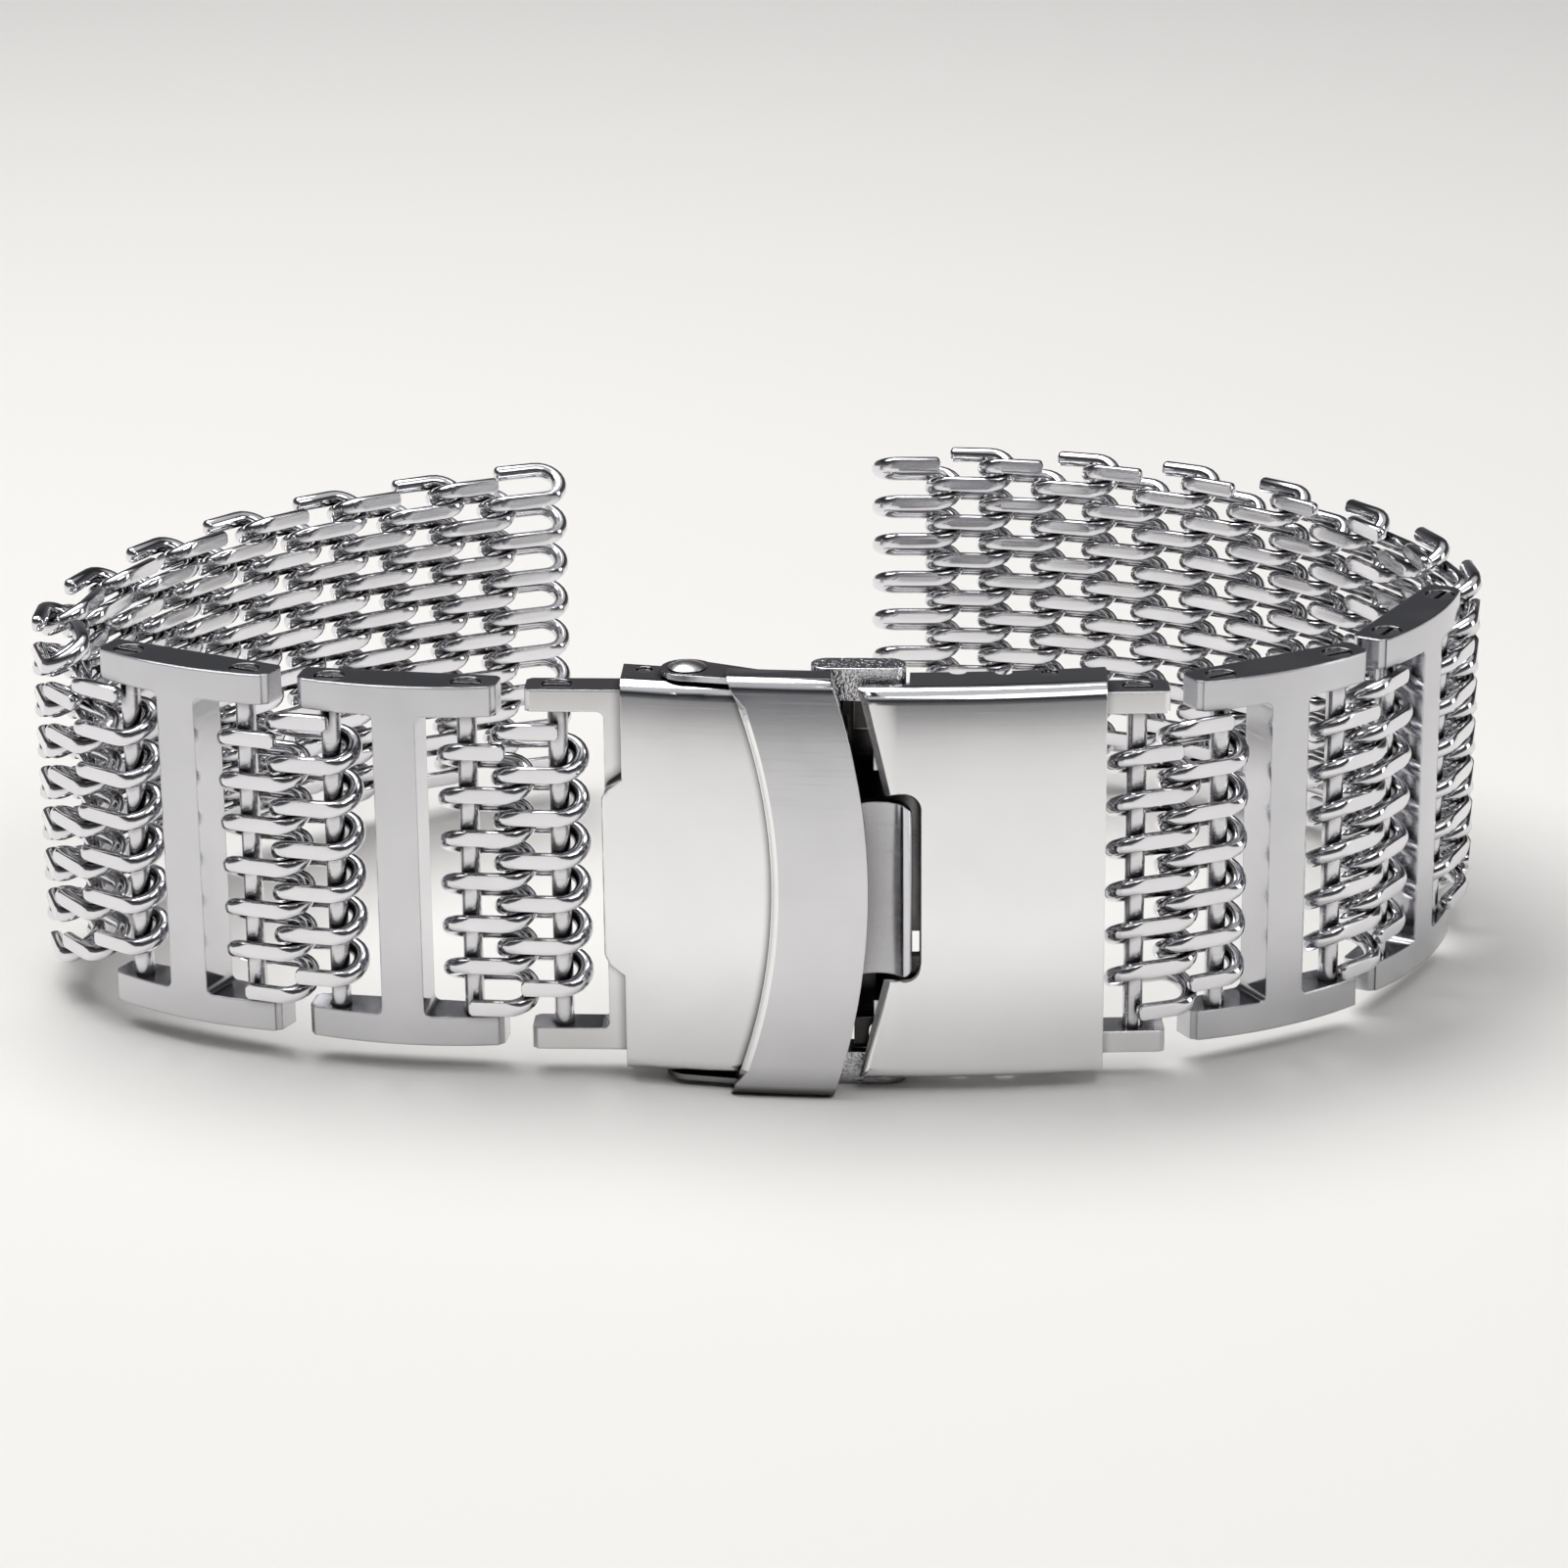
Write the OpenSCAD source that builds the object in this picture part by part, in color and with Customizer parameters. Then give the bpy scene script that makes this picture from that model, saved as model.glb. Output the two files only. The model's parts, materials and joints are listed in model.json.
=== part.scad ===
// Steel mesh watch bracelet with a fold-over clasp, standing on the edge of its band.
// X runs along the clasp, -Y is the outside of the clasp, Z runs across the band.

/* [Band] */
// Width of the band over the open-frame links
band_w = 22; // [19:0.5:26]
// Rows of mesh in each long end piece
long_rows = 16; // [9:1:17]

/* [Mesh wire] */
// Wire diameter
wire_d = 1; // [0.7:0.05:1]
// Length of one row of coils between two links
row_l = 5.4; // [5.2:0.1:6]
// Length of one row of coils in the long end pieces
long_row_l = 5.8; // [5.4:0.1:6.2]
// Thickness of the mesh
row_t = 3.4; // [3.2:0.1:3.6]
// Rise of one full turn of the wire
turn_rise = 2.62; // [2.6:0.02:2.9]
// How far two rows reach into each other
row_hook = 2.3; // [2.2:0.05:2.4]
// Depth ground off the outside of each straight run
wire_flat = 0.09; // [0.02:0.01:0.2]

/* [Open-frame links] */
// Distance between the two pins of a link
link_pitch = 8; // [7.4:0.1:10]
// Length of the link past each pin
link_end = 1.8; // [1.3:0.1:2]
// Thickness of a link
link_t = 2.8; // [2.4:0.1:3.2]
// Height of each long side of the frame
link_rail = 1.8; // [1.4:0.1:2]
// Width of the middle bar
link_bar = 2.5; // [1.5:0.1:3]
// Radius of the domed outer face
link_dome_r = 22; // [16:1:60]
// Pin diameter
pin_d = 1.15; // [1:0.05:1.3]
// Diameter of a slotted pin head
pin_head_d = 1.7; // [1.6:0.05:2.1]

/* [End links] */
// Distance from the spring bar to the mesh pin
end_pitch = 5; // [4.8:0.1:6]
// Thickness of an end link
end_t = 2.2; // [2:0.1:2.2]
// Height of each arm
end_rail = 1.3; // [1.2:0.05:1.6]
// Length of the solid bar past the spring bar
end_bar = 2.3; // [1.8:0.1:2.6]
// Diameter of the spring bars
spring_bar_d = 1.5; // [1.2:0.1:1.6]

/* [Clasp] */
// Length of the closed clasp without its tab
clasp_l = 27.5; // [26:0.5:30]
// Width of the catch plate and the cover
clasp_w = 23.8; // [22.8:0.1:27]
// Radius of the outer face along the clasp
clasp_r = 75; // [60:5:150]
// Thickness of the face sheet
face_t = 0.9; // [0.7:0.05:1]
// Thickness of the side walls
wall_t = 0.7; // [0.5:0.05:0.7]
// Depth of the side walls behind the face
wall_depth = 3.2; // [2.8:0.1:3.6]
// Length of the finger tab
tab_l = 1.2; // [1:0.1:2]
// Width of the finger tab
tab_w = 10.1; // [6:0.1:14]
// Pitch of the size-setting holes
hole_pitch = 2.6; // [2:0.1:2.8]
// Number of size-setting holes in each wall
holes = 3; // [2:1:3]
// Diameter of the size-setting holes
hole_d = 1; // [0.8:0.05:1.2]
// Width of the notch in the cover
notch_w = 11.2; // [8:0.2:13]

/* [Safety flap] */
// Thickness of the flap's side walls
flap_wall = 0.7; // [0.6:0.05:1.2]
// Width of the strip along the clasp
strip_l = 5.5; // [4.5:0.1:6]
// Thickness of the flap
flap_t = 0.8; // [0.6:0.05:0.9]
// Radius of the strip's left edge
left_bow_r = 34; // [28:1:60]
// Radius of the strip's right edge
right_bow_r = 40; // [28:1:60]
// Thickness of the hinge arms
arm_t = 0.35; // [0.3:0.05:0.4]

/* [Push buttons] */
// Length of a button along the clasp
button_l = 5.4; // [4:0.1:5.6]
// Depth of a button
button_t = 2; // [1.6:0.1:2]
// Travel of a button
button_travel = 0.5; // [0.3:0.05:0.5]

/* [Blades] */
// Thickness of the folding blades
blade_t = 0.7; // [0.5:0.05:0.7]
// Width of the folding blades
blade_w = 9; // [8:0.2:9.2]
// Outer diameter of the hinge eyes
eye_d = 1.8; // [1.6:0.05:1.9]
// Diameter of the hinge pins
hinge_d = 0.9; // [0.7:0.05:1]

/* [Fits] */
// Running clearance on a radius
run_fit = 0.05; // [0.03:0.01:0.08]
// Clearance between pieces that pass each other
gap = 0.1; // [0.06:0.01:0.12]

/* [Hidden] */
$fn = 48;
eps = 0.01;
mirror_steel = "gainsboro";
satin_steel = "silver";
wire_steel = "lightgray";
dark_steel = "darkgray";

// Heading of each piece at rest, in degrees from the line of the clasp, from the clasp to the free end
left_headings = [
    0, 2, 3, 7, 11, 17, 25, 36, 52, 71, 88, 99, 108, 114, 119, 124, 130, 136, 142, 147, 151, 154, 157, 160
];
right_headings = [
    4, 22, 27, 31, 46, 60, 63, 68, 83, 96, 106, 114, 121, 128, 135, 141, 147, 154, 160, 166, 172, 176, 181, 185
];

// Mesh wire
strand_d = wire_d - 0.02;
bend_r = (row_t - wire_d) / 2;
bend_tilt = atan(turn_rise / 4 / bend_r);
slant_r = norm([bend_r, turn_rise / 4]);
lattice_mid = 7.5;

// Band pieces
row_step = row_l - row_hook;
long_step = long_row_l - row_hook;
rail_gap = band_w - 2 * link_rail;
recess = 0.45;
head_h = 0.35;
slot_w = 0.3;
window_r = 0.4;
notch_r = 0.9;
bevel = 0.3;

// Clasp
clasp_h = clasp_l / 2;
arc_y = sqrt(pow(clasp_r, 2) - pow(clasp_h, 2));
inner_w = clasp_w - 2 * wall_t;
end_w = inner_w - 4 * gap;
bar_y = face_t + gap + end_t / 2 + 0.1;
left_bar_x = -clasp_h + 1.25;
right_bar_x = clasp_h - 3.25;
catch_edge_x = -3.7;
rivet = [-10, 1.3];
flap_w = clasp_w + 2 * (gap + flap_wall);
rivet_d = 1.2;
rivet_head_d = 2.2;
eye_r = 1.5;
flap_gap = gap;
flap_edge_x = -5.2;
flap_face_r = clasp_r + flap_gap + flap_t;
arm_w = clasp_w + 2 * gap;
notch_edge_x = 3.2;
slant_x = 1.2;
slant_end_x = -0.3;

// Latch and blades; depths are behind the outer face at the middle of the clasp
apex_y = arc_y - clasp_r;
housing_x = [-3.4, -0.8];
housing_t = 0.4;
housing_z = clasp_w / 2 - 1.8;
housing_depth = face_t + 2 * gap;
button_x = -0.3;
button_depth = housing_depth + housing_t + gap;
button_out = flap_w / 2 - gap / 2;
button_base = clasp_w / 2 - 1.2;
plate_depth = button_depth + 0.7;
plate_t = 0.7;
plate_end = clasp_w / 2 - 5.7;
post = [0.8, clasp_w / 2 - 2.25];
post_d = 0.8;
post_slot_w = post_d + 3 * gap;
spring_r = 0.55;
spring_wire = 0.25;
spring_turns = 5;
seat_z = 1;
upper_depth = 4.1;
lower_depth = upper_depth + blade_t + 2 * gap;
hinge = [11.6, 4.6];
fold = [1.5, apex_y + upper_depth - 0.1];
eye_half = 2.3;
hinge_ear_t = 1.8;
fork_half = eye_half + gap + hinge_ear_t;
fold_z = notch_w / 2 + gap;
fold_t = 1.2;
ear_z = fold_z + fold_t + gap;

// Where the whole part stands: its middle over the origin, its lowest edge on the ground
mid = [-6.739, 26.313];
half_h = flap_w / 2;

// Chain of joints from the clasp to a free end; piece i runs from joint i to joint i + 1
function pin_off(l) = l / 2 - wire_d - pin_d / 2 - run_fit;
function piece_l(i) =
    i == 0 ? end_pitch
           : i == 3 || i == 6 ? link_pitch
           : i < 7 ? pin_off(row_l) + row_step / 2
           : i == 7 ? pin_off(long_row_l) + long_step / 2
           : long_step;
function joint(i, start, turns) =
    i == 0 ? start
           : joint(i - 1, start, turns) + piece_l(i - 1) * [cos(turns[i - 1]), sin(turns[i - 1])];
function lattice(j) = (j - lattice_mid) * turn_rise / 2;
function face_y(x, depth) = arc_y - sqrt(pow(clasp_r - depth, 2) - x * x);

// Puts a piece of the band at its place on the left or the right
module on_chain(left, i) {
    start = [left ? -left_bar_x : right_bar_x, bar_y];
    turns = left ? left_headings : right_headings;
    rotate([0, left ? 180 : 0, 0])
        translate(joint(i, start, turns))
            rotate([0, 0, turns[i]])
                children();
}

// Puts the whole part at its place in the row
module stand() {
    translate([-mid.x, -mid.y, half_h])
        children();
}

// Straight run of a coil, ground flat on its outer side
module run(outside, l) {
    s = outside ? -1 : 1;
    run_l = l - wire_d - 2 * bend_r;
    intersection() {
        translate([-run_l / 2, s * bend_r, 0])
            rotate([0, 90, 0])
                cylinder(d = strand_d, h = run_l);
        translate([-run_l, outside ? wire_flat - row_t / 2 : 0, -wire_d])
            cube([2 * run_l, row_t / 2 - wire_flat, 2 * wire_d]);
    }
}

// Half ring that carries the wire from one face of the mesh to the other
module bend(outside, l) {
    rotate([0, 0, outside ? 0 : 180])
        translate([l / 2 - wire_d / 2 - bend_r, 0, 0])
            rotate([bend_tilt, 0, 0])
                rotate([0, 0, -90])
                    rotate_extrude(angle = 180)
                        translate([slant_r, 0])
                            circle(d = wire_d, $fn = 24);
}

// One row of the mesh: a flattened coil across the band, from lattice step first
module coil(first, count, phase, l) {
    for (j = [first : first + count - 1]) {
        outside = (j + phase) % 2 == 0;
        translate([0, 0, lattice(j)])
            run(outside, l);
        if (j < first + count - 1)
            translate([0, 0, lattice(j + 0.5)])
                bend(outside, l);
    }
}

// Row narrow enough to sit between the rails of a link
module short_row(k, l) {
    coil(k % 2 == 0 ? 1 : 2, 13, k % 2 == 0 ? 1 : 0, l);
}

// Row over the full width of the mesh
module full_row(k) {
    coil(0, 16, k % 2 == 0 ? 1 : 0, long_row_l);
}

// Short two-row mesh between two links: row a holds the inner pin, row b the outer one
module short_mesh_a(left, i) {
    color(wire_steel)
        on_chain(left, i)
            translate([pin_off(row_l), 0, 0])
                short_row(0, row_l);
}

module short_mesh_b(left, i) {
    color(wire_steel)
        on_chain(left, i + 1)
            translate([row_step / 2, 0, 0])
                short_row(1, row_l);
}

// Long mesh: section 0 is the row on the last link's pin, each later one has two rows
module long_mesh(left, section) {
    rows = section == 0 ? [0] : [2 * section - 1, 2 * section];
    color(wire_steel)
        for (k = rows)
            if (k < long_rows)
                on_chain(left, 7 + k)
                    translate([k == 0 ? pin_off(long_row_l) : long_step / 2, 0, 0])
                        if (k < 2)
                            short_row(k, long_row_l);
                        else
                            full_row(k);
}

// Slotted head of a pin, its outer face at the origin
module pin_head() {
    difference() {
        translate([0, 0, -head_h])
            cylinder(d = pin_head_d, h = head_h);
        translate([-pin_head_d, -slot_w / 2, -head_h / 2])
            cube([2 * pin_head_d, slot_w, head_h]);
    }
}

// Pin across a link of width w, with a head sunk at each end
module pin(w) {
    top = w / 2 - recess + head_h + gap / 4;
    cylinder(d = pin_d, h = 2 * (top - head_h), center = true);
    translate([0, 0, top])
        pin_head();
    mirror([0, 0, 1])
        translate([0, 0, top])
            pin_head();
}

// Hole for such a pin
module pin_hole(w) {
    cylinder(d = pin_d + 2 * run_fit, h = w + 1, center = true);
    for (s = [-1, 1])
        translate([0, 0, s * w / 2])
            cylinder(d = pin_head_d + 2 * run_fit, h = 2 * recess, center = true);
}

// Window of a link, open on the side away from the bar
module window(x, w, r) {
    translate([x, -w / 2])
        union() {
            translate([r, 0])
                square([band_w, w]);
            translate([0, r])
                square([band_w, w - 2 * r]);
            for (z = [r, w - r])
                translate([r, z])
                    circle(r = r);
        }
}

// Turns an outline drawn in X and Z into a plate through the thickness
module through_y(depth) {
    rotate([90, 0, 0])
        linear_extrude(depth, center = true)
            children();
}

// Plan of a link: domed outside, flat inside, bevelled ends
module link_plan() {
    l = link_pitch + 2 * link_end;
    difference() {
        intersection() {
            translate([link_pitch / 2, link_dome_r - link_t / 2])
                circle(r = link_dome_r, $fn = 180);
            translate([-link_end, -link_t / 2])
                square([l, link_t]);
        }
        for (x = [-link_end, link_pitch + link_end], y = [link_t / 2, link_dome_r - link_t / 2
            - sqrt(pow(link_dome_r, 2) - l * l / 4)])
            translate([x, y])
                rotate(45)
                    square(bevel * sqrt(2), center = true);
    }
}

// Open-frame link in the form of an H, from its inner pin to its outer pin
module link_body() {
    difference() {
        intersection() {
            linear_extrude(band_w, center = true)
                link_plan();
            through_y(2 * link_t)
                difference() {
                    translate([-link_end, -band_w / 2])
                        square([link_pitch + 2 * link_end, band_w]);
                    translate([link_pitch / 2, 0]) {
                        window(link_bar / 2, rail_gap, window_r);
                        mirror([1, 0])
                            window(link_bar / 2, rail_gap, window_r);
                    }
                }
        }
        for (x = [0, link_pitch])
            translate([x, 0, 0])
                pin_hole(band_w);
    }
}

module link(left, i) {
    color(satin_steel)
        on_chain(left, i)
            link_body();
}

module link_pins(left, i) {
    color(dark_steel)
        on_chain(left, i)
            for (x = [0, link_pitch])
                translate([x, 0, 0])
                    pin(band_w);
}

// Plan of an end link: round at the spring bar, bevelled at the arm tips
module end_plan() {
    tip = end_pitch + link_end;
    circle(d = end_t);
    difference() {
        translate([0, -end_t / 2])
            square([tip, end_t]);
        for (y = [-end_t / 2, end_t / 2])
            translate([tip, y])
                rotate(45)
                    square(bevel * sqrt(2), center = true);
    }
}

// End link in the form of a U, from the spring bar to the mesh pin
module end_body() {
    difference() {
        intersection() {
            linear_extrude(end_w, center = true)
                end_plan();
            through_y(2 * end_t)
                difference() {
                    translate([-end_t, -end_w / 2])
                        square([end_pitch + 3 * end_t, end_w]);
                    window(end_bar, end_w - 2 * end_rail, window_r);
                }
        }
        cylinder(d = spring_bar_d + 2 * run_fit, h = end_w + 1, center = true);
        translate([end_pitch, 0, 0])
            pin_hole(end_w);
    }
}

module end_link(left) {
    color(mirror_steel)
        on_chain(left, 0)
            end_body();
}

module end_pin(left) {
    color(dark_steel)
        on_chain(left, 0)
            translate([end_pitch, 0, 0])
                pin(end_w);
}

// Spring bar: a barrel inside the end link and two thin tips in the clasp walls
module spring_bar(x) {
    color(dark_steel)
        translate([x, bar_y, 0]) {
            cylinder(d = spring_bar_d, h = inner_w - 2 * gap, center = true);
            cylinder(d = hole_d - 2 * run_fit, h = clasp_w - 2 * gap, center = true);
        }
}

// Channel profile, radius along X and width along Y: a sheet with rounded edges and two side walls
module channel_profile(outer, w, inside_w, sheet, depth) {
    difference() {
        union() {
            translate([outer - depth, -w / 2])
                square([depth - sheet, w]);
            translate([outer - sheet, sheet - w / 2])
                square([sheet, w - 2 * sheet]);
            for (s = [-1, 1])
                translate([outer - sheet, s * (w / 2 - sheet)])
                    circle(r = sheet);
        }
        translate([0, -inside_w / 2])
            square([outer - sheet, inside_w]);
    }
}

// Sweeps a profile of radius and width along the arc of the clasp, from x0 to x1 at radius r
module along_clasp(x0, x1, r) {
    translate([0, arc_y, 0])
        rotate([0, 0, asin(x0 / r) - 90])
            rotate_extrude(angle = asin(x1 / r) - asin(x0 / r), $fn = 180)
                children();
}

// Flat strip that follows the arc of the clasp at a depth behind the face
module arc_strip(x0, x1, depth, t, w) {
    along_clasp(x0, x1, clasp_r - depth - t)
        translate([clasp_r - depth - t, -w / 2])
            square([t, w]);
}

// Face outline of the catch plate with its finger tab
module catch_outline() {
    slope = 1;
    polygon([
        [catch_edge_x, -clasp_w / 2 - 1], [catch_edge_x, clasp_w / 2 + 1],
        [-clasp_h, clasp_w / 2 + 1], [-clasp_h, tab_w / 2 + slope],
        [-clasp_h - tab_l + 0.3, tab_w / 2 + slope * 0.4], [-clasp_h - tab_l, tab_w / 2 - slope * 0.3],
        [-clasp_h - tab_l, slope * 0.3 - tab_w / 2], [-clasp_h - tab_l + 0.3, -tab_w / 2 - slope * 0.4],
        [-clasp_h, -tab_w / 2 - slope], [-clasp_h, -clasp_w / 2 - 1]
    ]);
}

module catch_plate() {
    color(mirror_steel)
        stand()
            difference() {
                intersection() {
                    along_clasp(-clasp_h - tab_l - 0.5, catch_edge_x + 0.5, clasp_r)
                        channel_profile(clasp_r, clasp_w, inner_w, face_t, wall_depth);
                    through_y(4 * wall_depth)
                        catch_outline();
                }
                translate([left_bar_x - 10, bar_y - end_t / 2 - gap, -inner_w / 2])
                    cube([10, end_t, inner_w]);
                translate([left_bar_x, bar_y, 0])
                    cylinder(d = hole_d, h = 2 * clasp_w, center = true);
                translate([rivet.x, rivet.y, 0])
                    cylinder(d = rivet_d + 2 * run_fit, h = 2 * clasp_w, center = true);
            }
}

// Lower blade, welded under the catch plate, with a fork for the blade hinge
module lower_blade() {
    foot_x = -8.6;
    wing_x = [housing_x[0], fold.x + eye_d / 2];
    foot_y = face_y(foot_x, face_t) + gap / 2;
    lower_y = face_y(foot_x, lower_depth + blade_t / 2);
    fork_x = hinge.x - eye_d / 2 - 2 * gap;
    color(satin_steel)
        stand()
            difference() {
                union() {
                    intersection() {
                        arc_strip(foot_x, hinge.x, lower_depth, blade_t, 2 * housing_z);
                        through_y(2 * clasp_l)
                            union() {
                                translate([2 * foot_x, -blade_w / 2])
                                    square([4 * hinge.x, blade_w]);
                                translate([wing_x[0], -housing_z - 1])
                                    square([wing_x[1] - wing_x[0], 2 * housing_z + 2]);
                            }
                    }
                    translate([foot_x, foot_y, -blade_w / 2])
                        cube([1.6, lower_y - foot_y, blade_w]);
                    translate([hinge.x, hinge.y, 0])
                        cylinder(d = eye_d, h = 2 * fork_half, center = true);
                }
                translate([fork_x, 0, -eye_half - gap])
                    cube([10, 10, 2 * (eye_half + gap)]);
                translate([hinge.x, hinge.y, 0])
                    cylinder(d = hinge_d + 2 * run_fit, h = 2 * blade_w, center = true);
                translate([hinge.x + eye_d / 2, 0, -blade_w])
                    cube([10, 10, 2 * blade_w]);
            }
}

// Two grooved posts under the cover that the buttons' plates hold
module latch_posts() {
    top_y = face_y(post.x, face_t + gap / 4);
    groove = plate_depth + plate_t / 2 - face_t;
    color(dark_steel)
        stand()
            for (s = [-1, 1])
                translate([post.x, top_y, s * post.y])
                    rotate([-90, 0, 0])
                        difference() {
                            cylinder(d = post_d, h = plate_depth + plate_t + 0.3 - face_t);
                            translate([0, 0, groove])
                                rotate_extrude()
                                    translate([post_d / 2, 0])
                                        circle(r = 0.1, $fn = 24);
                        }
}

// Two rivets with domed heads on which the flap turns
module flap_rivets() {
    inner_z = inner_w / 2 - 0.3;
    arm_z = arm_w / 2 + arm_t + gap / 2;
    head_r = rivet_head_d / 2;
    dome_h = flap_w / 2 - arm_z;
    dome_r = (head_r * head_r + dome_h * dome_h) / (2 * dome_h);
    color(dark_steel)
        stand()
            for (s = [0, 180])
                translate([rivet.x, rivet.y, 0])
                    rotate([s, 0, 0]) {
                        translate([0, 0, inner_z])
                            cylinder(d = rivet_d, h = arm_z - inner_z + eps);
                        translate([0, 0, inner_z])
                            cylinder(r = head_r - gap, h = 0.25);
                        intersection() {
                            translate([0, 0, arm_z + dome_h - dome_r])
                                sphere(r = dome_r);
                            translate([0, 0, arm_z])
                                cylinder(r = 2 * head_r, h = 1);
                        }
                    }
}

// Bowed strip across the clasp between two arcs
module strip_outline() {
    reach = 2 * left_bow_r;
    difference() {
        intersection() {
            translate([flap_edge_x + strip_l - right_bow_r, 0])
                circle(r = right_bow_r, $fn = 180);
            translate([flap_edge_x - 6, -reach / 2])
                square([reach, reach]);
        }
        translate([flap_edge_x - left_bow_r, 0])
            circle(r = left_bow_r, $fn = 180);
    }
}

// Curled finger lip that fills the cover's notch
module finger_lip() {
    lip_x = 0.85;
    lip_r = 2.4;
    lip_t = 0.6;
    lip_w = notch_w - 0.8;
    centre_y = apex_y + face_t - gap - lip_r;
    edge_x = notch_edge_x - 4 * gap;
    intersection() {
        translate([lip_x, centre_y, -lip_w / 2])
            rotate([0, 0, 38]) {
                rotate_extrude(angle = 108)
                    translate([lip_r - lip_t, 0])
                        square([lip_t, lip_w]);
                translate([lip_r - lip_t / 2, 0, 0])
                    cylinder(d = lip_t + eps, h = lip_w);
            }
        through_y(2 * clasp_l)
            translate([edge_x, 0])
                mirror([1, 0])
                    window(0, lip_w - 2 * eps, notch_r - 2 * gap);
    }
}

module safety_flap() {
    arm_end_x = -3.6;
    arm_y = face_y(arm_end_x, 1);
    color(satin_steel)
        stand()
            difference() {
                union() {
                    intersection() {
                        along_clasp(flap_edge_x - 3.5, flap_edge_x + strip_l + 0.5, clasp_r)
                            channel_profile(flap_face_r, flap_w, arm_w - 4 * eps, flap_t, flap_gap + flap_t + 1);
                        through_y(2 * clasp_l)
                            strip_outline();
                    }
                    finger_lip();
                    for (s = [-1, 1])
                        translate([0, 0, s > 0 ? arm_w / 2 : -arm_w / 2 - arm_t])
                            linear_extrude(arm_t) {
                                translate(rivet)
                                    circle(r = eye_r);
                                polygon([
                                    [rivet.x, rivet.y - eye_r], [arm_end_x - 1.6, face_y(arm_end_x, 0) + 0.1],
                                    [arm_end_x, face_y(arm_end_x, 0) + 0.1], [arm_end_x, arm_y],
                                    [arm_end_x - 1, arm_y + 0.6], [rivet.x, rivet.y + eye_r]
                                ]);
                            }
                }
                translate([rivet.x, rivet.y, 0])
                    cylinder(d = rivet_d + 2 * run_fit, h = 2 * flap_w, center = true);
            }
}

module blade_pin() {
    color(dark_steel)
        stand()
            translate([hinge.x, hinge.y, 0])
                cylinder(d = hinge_d, h = 2 * fork_half, center = true);
}

// Two short pins on which the cover folds
module cover_pins() {
    color(dark_steel)
        stand()
            for (s = [0, 180])
                translate([fold.x, fold.y, 0])
                    rotate([s, 0, 0])
                        translate([0, 0, fold_z])
                            cylinder(d = hinge_d, h = ear_z + fold_t - fold_z);
}

// Upper blade: an eye at the hinge and a fork that passes the lip on both sides
module upper_blade() {
    shoulder_x = hinge.x - eye_d / 2 - 2 * gap;
    throat_x = notch_edge_x + 2 * gap;
    color(satin_steel)
        stand()
            difference() {
                union() {
                    intersection() {
                        arc_strip(fold.x, hinge.x - 0.3, upper_depth, blade_t, 2 * (fold_z + fold_t));
                        through_y(2 * clasp_l)
                            difference() {
                                union() {
                                    translate([fold.x - 1, -blade_w / 2])
                                        square([shoulder_x - fold.x + 1, blade_w]);
                                    translate([fold.x - 1, -fold_z - fold_t])
                                        square([throat_x + 2 - fold.x, 2 * (fold_z + fold_t)]);
                                    translate([fold.x, -eye_half])
                                        square([hinge.x - fold.x + 2, 2 * eye_half]);
                                }
                                translate([throat_x, 0])
                                    mirror([1, 0])
                                        window(0, 2 * fold_z, window_r);
                            }
                    }
                    translate([hinge.x, hinge.y, 0])
                        cylinder(d = eye_d, h = 2 * eye_half, center = true);
                    for (z = [fold_z, -fold_z - fold_t])
                        translate([fold.x, fold.y, z])
                            cylinder(d = eye_d, h = fold_t);
                }
                for (p = [fold, hinge])
                    translate([p.x, p.y, 0])
                        cylinder(d = hinge_d + 2 * run_fit, h = 3 * blade_w, center = true);
            }
}

// Face outline of the cover: slanted left edges and the notch for the lip
module cover_outline() {
    slope = (slant_x - slant_end_x) / (clasp_w / 2 - notch_w / 2);
    reach_x = slant_x - slope * (clasp_w + 2 - notch_w) / 2;
    difference() {
        polygon([
            [reach_x, -clasp_w / 2 - 1], [slant_x, -notch_w / 2], [slant_x, notch_w / 2],
            [reach_x, clasp_w / 2 + 1], [clasp_h, clasp_w / 2 + 1], [clasp_h, -clasp_w / 2 - 1]
        ]);
        translate([notch_edge_x, 0])
            mirror([1, 0])
                window(0, notch_w, notch_r);
    }
}

module cover() {
    wall_x = button_x + button_l / 2 + 2 * gap;
    slant = atan((slant_x - slant_end_x) / (clasp_w / 2 - notch_w / 2));
    color(mirror_steel)
        stand()
            difference() {
                union() {
                    difference() {
                        intersection() {
                            along_clasp(slant_end_x - 0.5, clasp_h + 0.5, clasp_r)
                                channel_profile(clasp_r, clasp_w, inner_w, face_t, wall_depth);
                            through_y(4 * wall_depth)
                                cover_outline();
                        }
                        translate([wall_x - 10, apex_y + housing_depth, -clasp_w])
                            cube([10, 10, 2 * clasp_w]);
                    }
                    for (z = [ear_z, -ear_z - fold_t])
                        translate([0, 0, z]) {
                            translate([fold.x - eye_d / 2, apex_y + face_t / 2, 0])
                                cube([eye_d, fold.y - apex_y - face_t / 2, fold_t]);
                            translate([fold.x, fold.y, 0])
                                cylinder(d = eye_d, h = fold_t);
                        }
                }
                for (s = [0, 180])
                    rotate([s, 0, 0])
                        translate([slant_x, apex_y * (s == 0 ? 1 : -1), notch_w / 2])
                            rotate([0, -slant, 0])
                                rotate([0, 0, 45])
                                    translate([-bevel, -bevel, 0])
                                        cube([2 * bevel, 2 * bevel, clasp_w]);
                for (z = [ear_z, -ear_z - fold_t])
                    translate([fold.x, fold.y, z - 1])
                        cylinder(d = hinge_d, h = fold_t + 2);
                for (k = [0 : holes - 1])
                    translate([right_bar_x - k * hole_pitch, bar_y, 0])
                        cylinder(d = hole_d, h = 2 * clasp_w, center = true);
            }
}

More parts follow.
